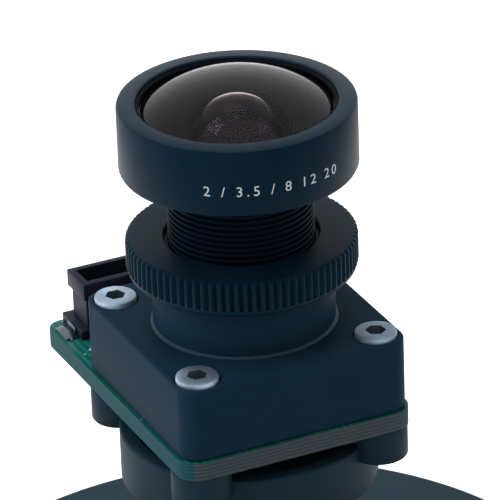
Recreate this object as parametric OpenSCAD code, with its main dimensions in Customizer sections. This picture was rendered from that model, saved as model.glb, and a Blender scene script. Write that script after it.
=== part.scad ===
// Board camera: a threaded wide-angle lens in a square holder, on a circuit
// board with an upright wire connector, a round rear shell and a round stand.
// Millimetres. +Z is up along the lens axis, -Y is the front of the board.
// The origin is on the lens axis, in the plane that the stand rests on.

/* [Stand] */
// Radius of the round foot
foot_radius = 28.5; // [20:0.5:40]
// Thickness of the round foot
foot_thickness = 3; // [2:0.1:6]
// Chamfer around the foot's edges
foot_chamfer = 0.6; // [0.2:0.1:1.2]
// Radius of the stem
stem_radius = 8; // [6:0.1:9]
// Height of the stem above the foot
stem_height = 14.85; // [8:0.05:30]
// Height and width of the cone where the stem meets the foot
stem_flare = 2; // [0.5:0.1:4]

/* [Rear shell] */
// How far the shell's wall stands out past the board's sides
shell_margin = 0.35; // [0:0.05:0.6]
// Height of the round rear shell
shell_height = 4.65; // [4:0.05:12]
// Thickness of the shell's wall
shell_wall = 1.2; // [0.8:0.1:2]
// Thickness of the shell's floor
shell_floor = 1.4; // [1:0.1:2]
// Open gap between the shell's rim and the board
rim_gap = 1.5; // [0.8:0.1:3]
// Radius of the four screw ears
ear_radius = 2.3; // [2:0.1:3]
// Height of the four screw ears
ear_height = 2.9; // [2:0.1:5]

/* [Circuit board] */
// Half width of the board
board_half_width = 10.35; // [10.35:0.05:14]
// How far the board runs on behind the holder
board_tail = 8.1; // [8.1:0.1:16]
// Thickness of the board
board_thickness = 1.6; // [0.8:0.1:1.6]
// Radius of the board's back corners
board_corner = 1.4; // [0.5:0.1:2.5]

/* [Lens holder] */
// How far the board stands out past the holder at the front and sides
board_lip = 0.25; // [0.1:0.05:0.5]
// Height of the square part
holder_height = 6.4; // [5:0.1:10]
// Radius of the holder's upright corners
holder_corner = 1.6; // [0.5:0.1:2.1]
// Distance from the holder's sides to the screws' centres
screw_inset = 2.1; // [2.1:0.1:2.8]
// Radius of the round boss
boss_radius = 7.5; // [7:0.1:8.5]
// Height of the round boss
boss_height = 4.75; // [3:0.05:8]
// Radius of the low step around the boss
step_radius = 7.7; // [7.2:0.1:9]
// Height of the low step around the boss
step_height = 0.15; // [0.1:0.05:1]
// Depth of the threaded bore below the holder's top
bore_depth = 3.4; // [2.5:0.1:3.6]
// Thickness of the shelf under the threaded bore
shelf_thickness = 0.8; // [0.5:0.1:1]
// Radius of the light opening in the shelf
shelf_hole = 4.4; // [3:0.1:5]
// Half width of the infrared filter's pocket
filter_half = 4.9; // [4.5:0.1:6]
// Depth of the infrared filter's pocket
filter_depth = 0.4; // [0.3:0.1:0.6]
// Half width of the space over the image sensor
cavity_half = 6.2; // [5.5:0.1:6.4]

/* [Screws] */
// Shank radius of a corner screw
screw_radius = 1; // [0.8:0.1:1.25]
// Head radius of a corner screw
screw_head_radius = 1.75; // [1.5:0.05:2]
// Head height of a corner screw
screw_head_height = 1.3; // [1:0.1:2]
// How far a head stands above the holder
screw_proud = 0.4; // [0:0.1:1]
// Width across the flats of a corner screw's socket
screw_socket = 1.5; // [1:0.1:1.6]
// Depth of a corner screw's socket
socket_depth = 0.8; // [0.5:0.1:1]
// Shank radius of the screw in the stand
stand_screw_radius = 1.5; // [1.25:0.05:2]
// How far that screw reaches into the stem
stand_screw_reach = 6; // [4:0.5:8]
// Head radius of that screw
stand_head_radius = 2.75; // [2.2:0.05:3]
// Head height of that screw
stand_head_height = 1.65; // [1.2:0.05:2]

/* [Lens] */
// Thread crest radius
thread_radius = 6; // [5.5:0.1:6.5]
// Thread pitch
thread_pitch = 0.5; // [0.35:0.05:1]
// Thread depth
thread_depth = 0.27; // [0.1:0.01:0.3]
// Inner radius of the barrel
bore_radius = 5.2; // [4.5:0.1:5.4]
// How far the barrel reaches below the holder's top
barrel_reach = 2; // [1:0.1:2.2]
// Distance from the holder's top to the lens head
head_lift = 13.86; // [12:0.02:18]
// Height of the lens head
head_height = 5.8; // [4:0.1:8]
// Radius of the lens head
head_radius = 9.75; // [8:0.05:12]
// Width of the flat rim around the front glass
rim_width = 1.55; // [0.8:0.05:2]
// Radius of curvature of the front glass
glass_curve = 13; // [10:0.5:40]

/* [Lens elements] */
// Edge thickness of the front glass
front_edge = 3.62; // [2.5:0.02:4]
// Radius of curvature of the front glass's hollow underside
front_hollow = 3.8; // [3.5:0.1:8]
// Depth of that hollow
hollow_depth = 3.4; // [1:0.02:3.6]
// Height of the thin ring around the front glass
front_ring_height = 0.38; // [0.3:0.02:0.8]
// Width of that ring
front_ring_width = 0.25; // [0.2:0.05:1]
// Clear radius of the elements and spacers
clear_radius = 4.2; // [3:0.1:4.4]
// Hole radius of the aperture stop
stop_radius = 1.7; // [0.8:0.1:2.5]
// Thickness of the aperture stop's web
stop_web = 0.3; // [0.2:0.1:0.5]
// Height of the aperture stop's ring
stop_height = 1.3; // [1.2:0.1:2]
// Edge thickness of the second element
second_edge = 2.2; // [1.9:0.1:2.6]
// Height of the front spacer
front_spacer_height = 1.3; // [1:0.1:2]
// Edge thickness of the third element
third_edge = 1.4; // [0.8:0.1:2]
// Edge thickness of the fourth element
fourth_edge = 1.5; // [1:0.1:2]
// Edge thickness of the fifth element
fifth_edge = 2.38; // [1.6:0.02:2.8]
// Height of the rear spacer
rear_spacer_height = 1.6; // [1.5:0.1:2]
// Edge thickness of the rear element
rear_edge = 2.4; // [1:0.1:2.6]
// Height of the ring that holds the stack in from below
rear_ring_height = 1.6; // [0.6:0.1:1.6]
// Curvature of the second element's upper face
second_top_curve = 20; // [12:1:60]
// Curvature of the second element's lower face
second_low_curve = 9; // [8:0.5:20]
// Curvature of the third element's faces
third_curve = 12; // [12:0.5:30]
// Curvature of the fourth element's upper face
fourth_top_curve = 16; // [12:1:60]
// Curvature where the fourth and fifth elements meet
doublet_curve = 8; // [7:0.5:20]
// Curvature of the fifth element's lower face
fifth_curve = 12; // [12:0.5:30]
// Curvature of the rear element's upper face
rear_top_curve = 14; // [14:0.5:40]
// Curvature of the rear element's lower face
rear_low_curve = 12; // [8:0.5:30]

/* [Lock ring] */
// How much smaller the lock ring's radius is than the lens head's
ring_inset = 0.25; // [0:0.05:1]
// Thickness of the lock ring
ring_thickness = 3.02; // [1.5:0.02:4]
// Number of grooves around the lock ring
ring_grooves = 84; // [40:1:120]
// Depth of the grooves
groove_depth = 0.28; // [0.1:0.02:0.5]
// Height of the plain band under the grooves
ring_band = 0.5; // [0.2:0.05:1]

/* [Connector] */
// Number of pins
pin_count = 12; // [4:1:12]
// Distance between pins
pin_pitch = 1.25; // [1:0.05:1.25]
// Width of a pin
pin_width = 0.3; // [0.2:0.02:0.4]
// Thickness of a pin's foot
pin_foot = 0.2; // [0.1:0.02:0.3]
// Height of the connector above the board
connector_height = 5.1; // [4:0.1:8]
// Front to back depth of the connector's base
connector_depth = 4.15; // [3.9:0.05:5]
// Front to back width of the opening for the plug
mouth_width = 2.35; // [1.5:0.05:2.4]
// Thickness of the walls around that opening
mouth_wall = 0.3; // [0.2:0.05:0.5]
// Height of the connector's collar
collar_height = 1.5; // [1:0.1:2.5]
// How far the collar stands out
collar_lip = 0.3; // [0.1:0.05:0.4]
// How far the base stands out at the ends
base_lip = 0.7; // [0.4:0.1:1]
// Height of the connector's base
base_height = 0.9; // [0.6:0.1:1.5]

/* [Board parts] */
// Width of the square processor chip
processor_width = 8; // [5:0.5:9]
// Thickness of the processor chip
processor_height = 1; // [0.6:0.1:1.4]
// Length of the memory chip
memory_length = 6; // [4:0.5:8]
// Thickness of the small chips
chip_height = 0.8; // [0.5:0.1:1.2]
// Width of the small square parts
small_part = 2.6; // [1.6:0.1:3]
// Length of a capacitor
capacitor_length = 1.6; // [1:0.1:2]
// Width and height of a capacitor
capacitor_width = 0.8; // [0.5:0.1:1]
// Length of a signal resistor
resistor_length = 1; // [0.6:0.1:1.2]
// Half width of the image sensor's package
package_half = 5; // [4:0.1:5.8]
// Height of the image sensor's package
package_height = 0.9; // [0.6:0.1:1.1]
// Thickness of the package's floor
package_floor = 0.3; // [0.2:0.1:0.5]
// Thickness of the sensor's cover glass
cover_thickness = 0.4; // [0.3:0.1:0.5]

/* [Clearances] */
// Radial clearance of the thread and of the lens elements
thread_clearance = 0.05; // [0.02:0.01:0.1]
// Clearance around screws, chips and pins
fit_gap = 0.02; // [0.01:0.01:0.1]

/* [Preview] */
// Sub-part to draw

/* [Hidden] */

$fn = 96;
over = 1; // how far a cutter runs past the face it opens

// Sides of the square holder, and what lines up with it
holder_half = board_half_width - board_lip;
board_back = holder_half + board_tail;
holder_flat = holder_half - holder_corner;
screw_offset = holder_half - screw_inset;
shell_radius = board_half_width + shell_margin;
shell_inner = shell_radius - shell_wall;

// Levels, from the table up
z_shell = foot_thickness + stem_height;
z_floor = z_shell + shell_floor;
z_rim = z_shell + shell_height;
z_board = z_rim + rim_gap;
z_seat = z_board + board_thickness;
z_top = z_seat + holder_height;
z_boss = z_top + boss_height;
z_ring = z_boss + fit_gap;
z_ring_top = z_ring + ring_thickness;
z_head = z_top + head_lift;
z_front = z_head + head_height;

// Holder cavities
seat_shelf = z_top - bore_depth;            // floor of the threaded bore
filter_top = seat_shelf - shelf_thickness;  // ceiling of the filter's pocket
filter_low = filter_top - filter_depth;     // mouth of the filter's pocket

// Lens stack
ring_radius = head_radius - ring_inset;
pocket_radius = head_radius - rim_width;
pocket_floor = z_head + 1.54;
glass_radius = bore_radius - thread_clearance;
cap_radius = clear_radius - 2 * thread_clearance;
front_flange = pocket_radius - 2 * thread_clearance;
front_low = pocket_floor + fit_gap;
front_high = front_low + front_edge;
front_dome = front_flange - front_ring_width - thread_clearance;
front_apex = front_high + sag(glass_curve, front_dome);
lip_low = pocket_floor - 0.25;
second_high = lip_low - fit_gap;
second_low = second_high - second_edge;
spacer_low = second_low - front_spacer_height;
third_low = spacer_low - third_edge;
stop_low = third_low - stop_height;
fourth_low = stop_low - fourth_edge;
fifth_high = fourth_low - fit_gap;
fifth_low = fifth_high - fifth_edge;
rear_spacer_low = fifth_low - rear_spacer_height;
rear_low = rear_spacer_low - rear_edge;
rear_ring_low = rear_low - rear_ring_height;

screw_seat = z_top + screw_proud - screw_head_height;
screw_end = z_board - ear_height + 0.5;
corners = [[-1, -1], [1, -1], [1, 1], [-1, 1]];

function sag(curve, r) = curve - sqrt(curve * curve - r * r);

module rod(r, low, high, x = 0, y = 0) {
    translate([x, y, low]) cylinder(h = high - low, r = r);
}

module box(low, high) {
    translate(low) cube(high - low);
}

module ball(r, z) {
    translate([0, 0, z]) sphere(r = r);
}

module tube(outer, inner, low, high) {
    difference() {
        rod(outer, low, high);
        rod(inner, low - over, high + over);
    }
}

module at_screws() {
    for (c = corners) translate([c[0] * screw_offset, c[1] * screw_offset, 0]) children();
}

// Hexagonal socket, measured across its flats
module hex_socket(across, low, high) {
    translate([0, 0, low]) cylinder(h = high - low, r = across / sqrt(3), $fn = 6);
}

// A chip or a small part lying on the board's underside, centred at x, y
module under_board(x, y, long, wide, tall) {
    box([x - long / 2, y - wide / 2, z_board - tall], [x + long / 2, y + wide / 2, z_board]);
}

// Dome on a lens element, facing up or down from the flat face at level z
module dome_up(a, curve, z) {
    intersection() {
        rod(a, z - 0.2, z + over);
        ball(curve, z + sag(curve, a) - curve);
    }
}

module dome_down(a, curve, z) {
    intersection() {
        rod(a, z - over - 0.5, z + 0.2);
        ball(curve, z - sag(curve, a) + curve);
    }
}

module stand() {
    color("#1b1e22") difference() {
        rotate_extrude() polygon([
            [0, 0], [foot_radius - foot_chamfer, 0], [foot_radius, foot_chamfer],
            [foot_radius, foot_thickness - foot_chamfer],
            [foot_radius - foot_chamfer, foot_thickness],
            [stem_radius + stem_flare, foot_thickness],
            [stem_radius, foot_thickness + stem_flare],
            [stem_radius, z_shell], [0, z_shell]]);
        rod(stand_screw_radius + fit_gap, z_shell - stand_screw_reach - 0.5, z_shell + over);
    }
}

module stand_screw() {
    color("#b9bcc0") difference() {
        union() {
            rod(stand_screw_radius, z_shell - stand_screw_reach, z_floor + 0.2);
            rod(stand_head_radius, z_floor, z_floor + stand_head_height);
        }
        hex_socket(2, z_floor + stand_head_height - 1, z_floor + stand_head_height + over);
    }
}

module rear_shell() {
    color("#181b1f") difference() {
        union() {
            rod(shell_radius, z_shell, z_rim);
            at_screws() rod(ear_radius, z_board - ear_height, z_board);
        }
        rod(shell_inner, z_floor, z_board + over);
        rod(stand_screw_radius + 0.1, z_shell - over, z_floor + over);
        at_screws() rod(screw_radius + fit_gap, z_board - ear_height - over, z_board + over);
    }
}

module circuit_board() {
    front = -board_half_width;
    front_corner = holder_corner + board_lip;
    color("#2f6b4f") difference() {
        union() {
            box([-board_half_width, front + front_corner, z_board],
                [board_half_width, board_back - board_corner, z_seat]);
            box([-holder_flat, front, z_board], [holder_flat, 0, z_seat]);
            box([-board_half_width + board_corner, 0, z_board],
                [board_half_width - board_corner, board_back, z_seat]);
            for (s = [-1, 1]) {
                rod(front_corner, z_board, z_seat, s * holder_flat, -holder_flat);
                rod(board_corner, z_board, z_seat, s * (board_half_width - board_corner),
                    board_back - board_corner);
            }
        }
        at_screws() rod(screw_radius + 0.1, z_board - over, z_seat + over);
    }
}

// The parts under the board stand around the processor
processor_y = 1.2;
part_gap = 0.9;
memory_width = 3.4;
side_column = processor_width / 2 + part_gap + small_part / 2;

module processor_chip() {
    color("#26282b") under_board(0, processor_y, processor_width, processor_width, processor_height);
}

module memory_chip() {
    y = processor_y - processor_width / 2 - part_gap - memory_width / 2;
    color("#2a2c2f") under_board(0, y, memory_length, memory_width, chip_height);
}

module regulator_chip() {
    color("#2a2c2f") under_board(-side_column, -1.6, small_part, small_part, chip_height);
}

module power_inductor() {
    color("#45474a") under_board(side_column, -1.6, small_part, small_part, 1.5 * chip_height);
}

module crystal() {
    color("#c4c7cb") under_board(-side_column, 2.6, small_part - 0.6, small_part - 0.1, chip_height - 0.1);
}

module capacitors() {
    row = processor_y + processor_width / 2 + part_gap + capacitor_length / 2 - 0.3;
    color("#a98f6a") {
        for (k = [0 : 2]) under_board(side_column, processor_y - 0.2 + k * (capacitor_width + 0.6),
            capacitor_length, capacitor_width, capacitor_width);
        for (k = [-2 : 2]) under_board(k * (capacitor_width + 1.3), row,
            capacitor_width, capacitor_length, capacitor_width);
    }
}

module signal_resistors() {
    near = holder_half + 0.8;
    color("#303236") for (s = [-1, 1], k = [1, 3, 5]) {
        x = s * (board_half_width - 1 - k);
        box([x - resistor_length / 2, near, z_seat],
            [x + resistor_length / 2, near + 0.5, z_seat + 0.35]);
    }
}

module sensor_package() {
    inner = package_half - 1.1;
    color("#3b3d42") difference() {
        box([-package_half, -package_half, z_seat],
            [package_half, package_half, z_seat + package_height]);
        box([-inner, -inner, z_seat + package_floor],
            [inner, inner, z_seat + package_height + over]);
    }
}

module sensor_die() {
    x = package_half - 1.9;
    y = package_half - 2.7;
    color("#5a4f72") box([-x, -y, z_seat + package_floor], [x, y, z_seat + package_floor + 0.3]);
}

module sensor_cover() {
    x = package_half - 0.4;
    low = z_seat + package_height;
    color([0.75, 0.82, 0.85, 0.4]) box([-x, -x, low], [x, x, low + cover_thickness]);
}

module infrared_filter() {
    size = filter_half - fit_gap;
    color([0.55, 0.75, 0.8, 0.45])
        box([-size, -size, filter_low + fit_gap], [size, size, filter_top - fit_gap]);
}

module lens_holder() {
    color("#16191d") difference() {
        union() {
            box([-holder_half, -holder_flat, z_seat], [holder_half, holder_flat, z_top]);
            box([-holder_flat, -holder_half, z_seat], [holder_flat, holder_half, z_top]);
            for (c = corners)
                rod(holder_corner, z_seat, z_top, c[0] * holder_flat, c[1] * holder_flat);
            rod(step_radius, z_top - over, z_top + step_height);
            rod(boss_radius, z_top - over, z_boss);
        }
        rod(thread_radius + thread_clearance, seat_shelf, z_boss + over);
        rod(shelf_hole, filter_top - over, seat_shelf + over);
        box([-filter_half, -filter_half, filter_low - over],
            [filter_half, filter_half, filter_top]);
        box([-cavity_half, -cavity_half, z_seat - over],
            [cavity_half, cavity_half, filter_low]);
        at_screws() {
            rod(screw_radius + 0.1, z_seat - over, z_top + over);
            rod(screw_head_radius + 0.1, screw_seat, z_top + over);
        }
    }
}

module corner_screws() {
    head_top = screw_seat + screw_head_height;
    color("#c9ccd0") at_screws() difference() {
        union() {
            rod(screw_radius, screw_end, screw_seat + 0.2);
            rod(screw_head_radius - 0.15, screw_seat, head_top);
            rod(screw_head_radius, screw_seat, head_top - 0.15);
        }
        hex_socket(screw_socket, head_top - socket_depth, head_top + over);
    }
}

pin_first = -(pin_count - 1) * pin_pitch / 2;
mouth_half = -pin_first + 0.925; // half length of the opening for the plug
wall_half = mouth_half + mouth_wall;
wall_deep = mouth_width / 2 + mouth_wall;
base_half = wall_half + base_lip;
base_back = board_back - 0.3;
base_front = base_back - connector_depth;
pin_row = base_back - 2.3;
connector_top = z_seat + connector_height;

module connector_shell() {
    slot = pin_width / 2 + fit_gap;
    collar_half = wall_half + collar_lip;
    collar_deep = wall_deep + collar_lip;
    color("#17191c") difference() {
        union() {
            box([-base_half, base_front, z_seat], [base_half, base_back, z_seat + base_height]);
            box([-wall_half, pin_row - wall_deep, z_seat],
                [wall_half, pin_row + wall_deep, connector_top - collar_height / 2]);
            box([-collar_half, pin_row - collar_deep, connector_top - collar_height],
                [collar_half, pin_row + collar_deep, connector_top]);
        }
        box([-mouth_half, pin_row - mouth_width / 2, z_seat + base_height + 0.4],
            [mouth_half, pin_row + mouth_width / 2, connector_top + over]);
        for (k = [0 : pin_count - 1]) {
            x = pin_first + k * pin_pitch;
            box([x - slot, pin_row - slot, z_seat - over],
                [x + slot, pin_row + slot, z_seat + base_height + over]);
            box([x - slot, base_front - over, z_seat - over],
                [x + slot, pin_row, z_seat + pin_foot + fit_gap]);
        }
    }
}

module connector_pins() {
    half = pin_width / 2;
    color("#c8b36a") for (k = [0 : pin_count - 1]) {
        x = pin_first + k * pin_pitch;
        box([x - half, pin_row - half, z_seat], [x + half, pin_row + half, connector_top - 0.9]);
        box([x - half, base_front - 1.05, z_seat], [x + half, pin_row, z_seat + pin_foot]);
    }
}

module connector_tabs() {
    near = base_half + fit_gap;
    color("#bfc3c7") for (s = [-1, 1]) {
        foot = s * (near + 0.58);
        strap = s * (near + 0.09);
        box([foot - 0.58, pin_row - 1.2, z_seat], [foot + 0.58, pin_row + 1.2, z_seat + pin_foot]);
        box([strap - 0.09, pin_row - 0.8, z_seat],
            [strap + 0.09, pin_row + 0.8, z_seat + base_height - 0.1]);
    }
}

module lock_ring() {
    step = 360 / ring_grooves;
    low = ring_radius - groove_depth;
    band = ring_radius - groove_depth / 2;
    knurl = z_ring + ring_band;
    chamfer = 0.2;
    color("#15181c") difference() {
        union() {
            rotate_extrude() polygon([
                [0, z_ring], [band - chamfer, z_ring], [band, z_ring + chamfer],
                [band, knurl + 0.1], [0, knurl + 0.1]]);
            intersection() {
                translate([0, 0, knurl]) linear_extrude(height = z_ring_top - knurl)
                    polygon([for (k = [0 : ring_grooves - 1], p = [[0.06, low],
                        [0.3, ring_radius], [0.76, ring_radius], [1, low]])
                        p[1] * [cos((k + p[0]) * step), sin((k + p[0]) * step)]]);
                rotate_extrude() polygon([
                    [0, knurl], [ring_radius + 0.1, knurl],
                    [ring_radius + 0.1, z_ring_top - chamfer * 2],
                    [low - chamfer, z_ring_top], [0, z_ring_top]]);
            }
        }
        rod(thread_radius + thread_clearance, z_ring - over, z_ring_top + over);
        rod(thread_radius + 0.35, z_ring_top - 0.5, z_ring_top + over);
    }
}

module lens_barrel() {
    root = thread_radius - thread_depth;
    low = z_top - barrel_reach;
    turns = floor((z_head - 0.96 - low) / thread_pitch);
    thread = [for (k = [0 : turns - 1], p = [[root, 0.1], [thread_radius, 0.46],
        [thread_radius, 0.54], [root, 0.9]]) [p[0], low + (k + p[1]) * thread_pitch]];
    color("#14171b") rotate_extrude() polygon(concat(
        [[bore_radius, low], [root, low]], thread,
        [[root, z_head], [head_radius - 0.25, z_head], [head_radius, z_head + 0.25],
         [head_radius, z_front - 0.3], [head_radius - 0.3, z_front],
         [pocket_radius, z_front], [pocket_radius, pocket_floor], [bore_radius - 0.3, pocket_floor],
         [bore_radius - 0.3, lip_low], [bore_radius, lip_low]]));
}

module front_lens() {
    color([0.55, 0.5, 0.5, 0.4]) difference() {
        union() {
            rod(front_flange, front_low, front_high);
            intersection() {
                rod(front_dome, front_high - 0.2, front_apex + over);
                ball(glass_curve, front_apex - glass_curve);
            }
        }
        ball(front_hollow, front_low + hollow_depth - front_hollow);
    }
}

module front_retaining_ring() {
    color("#101215") tube(pocket_radius - thread_clearance, front_dome + 2 * thread_clearance,
        front_high + fit_gap, front_high + fit_gap + front_ring_height);
}

module second_lens() {
    color([0.6, 0.66, 0.7, 0.4]) difference() {
        rod(glass_radius, second_low, second_high);
        ball(second_top_curve,
            second_high - sag(second_top_curve, clear_radius + 0.4) + second_top_curve);
        ball(second_low_curve,
            second_low + sag(second_low_curve, clear_radius) - second_low_curve);
    }
}

module front_spacer() {
    color("#131518") tube(glass_radius, clear_radius, spacer_low, second_low);
}

module third_lens() {
    color([0.6, 0.66, 0.7, 0.4]) {
        rod(glass_radius, third_low, spacer_low);
        dome_up(cap_radius, third_curve, spacer_low);
        dome_down(cap_radius, third_curve, third_low);
    }
}

module aperture_stop() {
    color("#0c0d0f") difference() {
        rod(glass_radius, stop_low, third_low);
        rod(clear_radius, stop_low + stop_web, third_low + over);
        rod(stop_radius, stop_low - over, third_low + over);
    }
}

module fourth_lens() {
    color([0.6, 0.66, 0.7, 0.4]) difference() {
        union() {
            rod(glass_radius, fourth_low, stop_low);
            dome_down(cap_radius, doublet_curve, fourth_low);
        }
        ball(fourth_top_curve,
            stop_low - sag(fourth_top_curve, cap_radius) + fourth_top_curve);
    }
}

module fifth_lens() {
    color([0.66, 0.64, 0.6, 0.4]) difference() {
        union() {
            rod(glass_radius, fifth_low, fifth_high);
            dome_down(cap_radius, fifth_curve, fifth_low);
        }
        ball(doublet_curve + fit_gap,
            fourth_low - sag(doublet_curve, cap_radius) + doublet_curve);
    }
}

module rear_spacer() {
    color("#131518") tube(glass_radius, clear_radius, rear_spacer_low, fifth_low);
}

module rear_lens() {
    color([0.6, 0.66, 0.7, 0.4]) difference() {
        union() {
            rod(glass_radius, rear_low, rear_spacer_low);
            dome_up(cap_radius, rear_top_curve, rear_spacer_low);
        }
        ball(rear_low_curve,
            rear_low + sag(rear_low_curve, clear_radius - 0.6) - rear_low_curve);
    }
}

module rear_retaining_ring() {
    color("#101215") tube(glass_radius, clear_radius - 0.3, rear_ring_low,
        rear_low - fit_gap);
}

stand();
stand_screw();
rear_shell();
circuit_board();
processor_chip();
memory_chip();
regulator_chip();
power_inductor();
crystal();
capacitors();
signal_resistors();
sensor_package();
sensor_die();
sensor_cover();
infrared_filter();
lens_holder();
corner_screws();
connector_shell();
connector_pins();
connector_tabs();
lock_ring();
lens_barrel();
front_lens();
front_retaining_ring();
second_lens();
front_spacer();
third_lens();
aperture_stop();
fourth_lens();
fifth_lens();
rear_spacer();
rear_lens();
rear_retaining_ring();
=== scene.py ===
"""Looks for a board camera: finer pieces, materials, studio light and the camera.

Every mesh is in millimetres until its piece is finished.
"""

import logging
import math
from dataclasses import dataclass
from enum import Enum
from functools import cached_property
from typing import Callable, Iterable, Sequence, Union

import bmesh
import bpy
from bmesh.types import BMEdge, BMesh, BMVert
from bpy.types import Material, NodeTree, Object
from mathutils import Matrix, Vector


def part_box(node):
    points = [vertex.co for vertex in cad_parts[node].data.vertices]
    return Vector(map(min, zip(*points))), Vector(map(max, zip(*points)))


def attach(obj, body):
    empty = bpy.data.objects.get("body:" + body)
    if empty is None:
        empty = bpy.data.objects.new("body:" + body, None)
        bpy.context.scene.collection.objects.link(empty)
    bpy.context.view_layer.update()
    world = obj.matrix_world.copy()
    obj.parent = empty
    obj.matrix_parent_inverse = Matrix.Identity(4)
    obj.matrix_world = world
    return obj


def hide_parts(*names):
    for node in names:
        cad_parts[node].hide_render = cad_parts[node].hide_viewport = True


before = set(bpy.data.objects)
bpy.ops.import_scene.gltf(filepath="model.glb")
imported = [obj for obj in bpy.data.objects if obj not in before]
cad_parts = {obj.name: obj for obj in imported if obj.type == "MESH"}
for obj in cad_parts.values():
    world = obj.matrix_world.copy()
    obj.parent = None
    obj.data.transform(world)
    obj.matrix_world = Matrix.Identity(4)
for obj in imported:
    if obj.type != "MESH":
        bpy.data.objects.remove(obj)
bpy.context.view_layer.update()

LOG = logging.getLogger("board_camera")
MM = 0.001

Point = tuple[float, float]
Colour = tuple[float, float, float]
Socket = bpy.types.NodeSocket
Outputs = bpy.types.bpy_prop_collection
Value = Union[Socket, float, Colour]

WHITE: Colour = (1.0, 1.0, 1.0)
DUST: Colour = (0.05, 0.07, 0.09)
MERGE = 0.0005  # corners nearer than this become one
SCREW_PLACES: list[Point] = [(x, y) for x in (-8.0, 8.0) for y in (-8.0, 8.0)]
PIN_COUNT, PIN_PITCH = 12, 1.25
PIN_PLACES = [(k - (PIN_COUNT - 1) / 2) * PIN_PITCH for k in range(PIN_COUNT)]


class Body(str, Enum):
    """The bodies that a new piece can ride on."""

    HOUSING = "housing"
    BARREL = "barrel"
    RING = "lock_ring"


class Join(str, Enum):
    """How one mesh is put together with another."""

    ADD = "UNION"
    CUT = "DIFFERENCE"


def box(node: str) -> tuple[Vector, Vector]:
    """Lowest and highest corner of a CAD node, in millimetres."""
    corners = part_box(node)
    return corners[0] / MM, corners[1] / MM


# ---------------------------------------------------------------- shader nodes


class Wiring:
    """A node tree, and short ways to add the nodes that the finishes are made of."""

    def __init__(self, tree: NodeTree) -> None:
        """Takes the tree that gets the nodes."""
        self.tree = tree

    def feed(self, target: Socket, value: Value) -> None:
        """Links a socket to an input, or sets the input to a number or a colour.

        Args:
            target: the input.
            value: what it is fed.
        """
        if isinstance(value, Socket):
            self.tree.links.new(value, target)
        else:
            target.default_value = (*value, 1.0) if isinstance(value, tuple) else value

    def add(self, kind: str, inputs: dict[int | str, Value], **settings: object) -> Outputs:
        """Adds a node.

        Args:
            kind: the node's type, without ShaderNode in front.
            inputs: what each input is fed.
            settings: the node's own settings.

        Returns:
            The node's outputs.
        """
        node = self.tree.nodes.new("ShaderNode" + kind)
        for name, value in settings.items():
            setattr(node, name, value)
        for key, value in inputs.items():
            self.feed(node.inputs[key], value)
        return node.outputs

    def maths(self, operation: str, a: Value, b: Value = 0.0, clamp: bool = False) -> Socket:
        """Adds a Math node, clamped to 0 and 1 if asked."""
        return self.add("Math", {0: a, 1: b}, operation=operation, use_clamp=clamp)[0]

    def mix(self, share: Value, a: Value, b: Value) -> Socket:
        """Mixes two colours: a where the share is 0, and b where it is 1."""
        return self.add("Mix", {0: share, 6: a, 7: b}, data_type="RGBA")[2]

    def noise(self, where: Socket, scale: float, detail: float) -> Socket:
        """Adds a noise texture. Its scale is in features per metre."""
        return self.add("TexNoise", {"Vector": where, "Scale": scale, "Detail": detail})[0]

    def band(self, value: Socket, start: float, end: float) -> Socket:
        """Maps start to 0 and end to 1."""
        return self.add("MapRange", {0: value, 1: start, 2: end})[0]

    def split(self, where: Socket) -> Outputs:
        """Gives a vector's three coordinates."""
        return self.add("SeparateXYZ", {0: where})


class Group(Wiring):
    """A new shader node group, its inputs and its outputs."""

    def __init__(self, name: str, inputs: dict[str, str], outputs: dict[str, str]) -> None:
        """Starts the group.

        Args:
            name: the group's name.
            inputs: Vector, Color or Float for each input.
            outputs: the same for each output.
        """
        super().__init__(bpy.data.node_groups.new(name, "ShaderNodeTree"))
        for way, sockets in (("INPUT", inputs), ("OUTPUT", outputs)):
            for label, kind in sockets.items():
                self.tree.interface.new_socket(name=label, in_out=way,
                                               socket_type="NodeSocket" + kind)
        self.source = self.tree.nodes.new("NodeGroupInput").outputs
        self.sink = self.tree.nodes.new("NodeGroupOutput").inputs


class Surface(Wiring):
    """A new material with a Principled shader and Object coordinates."""

    def __init__(self, name: str) -> None:
        """Makes the material."""
        self.material = bpy.data.materials.new(name)
        self.material.use_nodes = True
        super().__init__(self.material.node_tree)
        self.where = self.add("TexCoord", {})["Object"]

    def dress(self, **inputs: Value) -> None:
        """Feeds the shader's inputs.

        Args:
            inputs: what each input is fed, with _ for a space in its name.
        """
        shader = self.tree.nodes["Principled BSDF"]
        for label, value in inputs.items():
            self.feed(shader.inputs[label.replace("_", " ")], value)

    def place(self, group: NodeTree, **inputs: Value) -> Outputs:
        """Places a node group on the material's coordinates.

        Args:
            group: the node group.
            inputs: what each input is fed, with _ for a space in its name.

        Returns:
            The group node's outputs.
        """
        named = {label.replace("_", " "): value for label, value in inputs.items()}
        return self.add("Group", {"Vector": self.where, **named}, node_tree=group)

    def relief(self, height: Socket, strength: float, depth: float) -> None:
        """Feeds a height to the shader's normal, with its depth in metres."""
        fed = {"Height": height, "Strength": strength, "Distance": depth}
        self.dress(Normal=self.add("Bump", fed)[0])


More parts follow.
